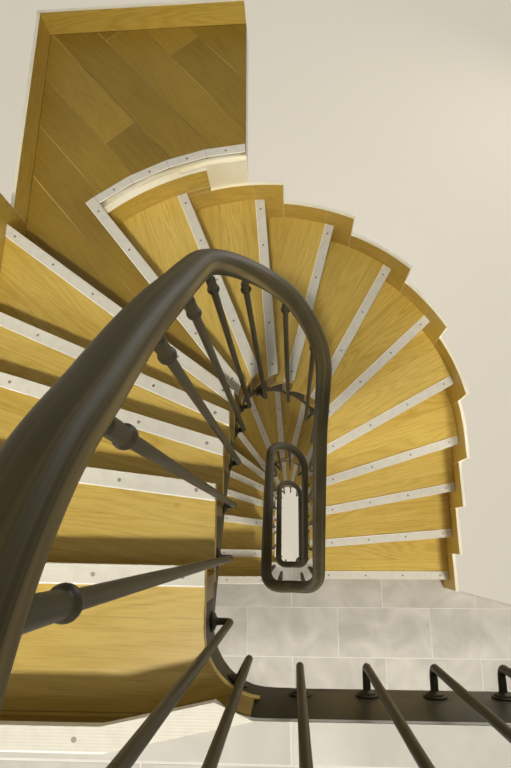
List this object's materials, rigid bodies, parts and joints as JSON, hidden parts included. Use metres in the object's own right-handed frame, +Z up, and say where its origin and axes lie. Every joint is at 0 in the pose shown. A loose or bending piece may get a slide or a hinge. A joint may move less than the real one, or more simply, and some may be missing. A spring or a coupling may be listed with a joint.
{
  "type": "open-well stair with winders",
  "caption": "Winding open-well stair of three storeys, with oak steps on a curved steel string, a handrail on balusters, and landings.",
  "frame": {"origin": "centre of the underside of the newel's round foot, on the lowest floor", "axes": "+Z up, +Y the way the first flight climbs, +X from the newel towards the right-hand wall"},
  "size_m": [2.75, 4.048, 9.372],
  "materials": {
    "oak_tread": "satin varnished oak",
    "oak_riser": "satin varnished oak",
    "oak_return": "satin varnished oak",
    "oak_skirting": "satin varnished oak",
    "oak_floor": "satin varnished oak boards",
    "nosing": "pale matt strip",
    "string_steel": "dark brown paint",
    "rail_paint": "dark brown satin paint",
    "baluster_steel": "grey brown paint",
    "plaster": "matt painted plaster",
    "concrete": "painted concrete slab",
    "tile": "matt grey tiles"
  },
  "bodies": {
    "root": {"treads_1": "oak_tread", "treads_2": "oak_tread", "treads_3": "oak_tread", "risers_1": "oak_riser", "risers_2": "oak_riser", "risers_3": "oak_riser", "riser_returns_1": "oak_return", "riser_returns_2": "oak_return", "riser_returns_3": "oak_return", "nosing_strips_1": "nosing", "nosing_strips_2": "nosing", "nosing_strips_3": "nosing", "well_string_1": "string_steel", "well_string_2": "string_steel", "well_string_3": "string_steel", "wall_strings_1": "string_steel", "wall_strings_2": "string_steel", "wall_strings_3": "string_steel", "skirtings_1": "oak_skirting", "skirtings_2": "oak_skirting", "skirtings_3": "oak_skirting", "soffit_1": "plaster", "soffit_2": "plaster", "soffit_3": "plaster", "half_floor_1": "oak_floor", "half_floor_2": "oak_floor", "half_floor_3": "oak_floor", "slabs_1": "concrete", "slabs_2": "concrete", "slabs_3": "concrete", "tiles_1": "tile", "tiles_2": "tile", "tiles_3": "tile", "handrail_1": "rail_paint", "handrail_2": "rail_paint", "handrail_3": "rail_paint", "rail_bar_1": "rail_paint", "rail_bar_2": "rail_paint", "rail_bar_3": "rail_paint", "balusters_1": "baluster_steel", "balusters_2": "baluster_steel", "balusters_3": "baluster_steel", "newel": "rail_paint"}
  },
  "joints": []
}
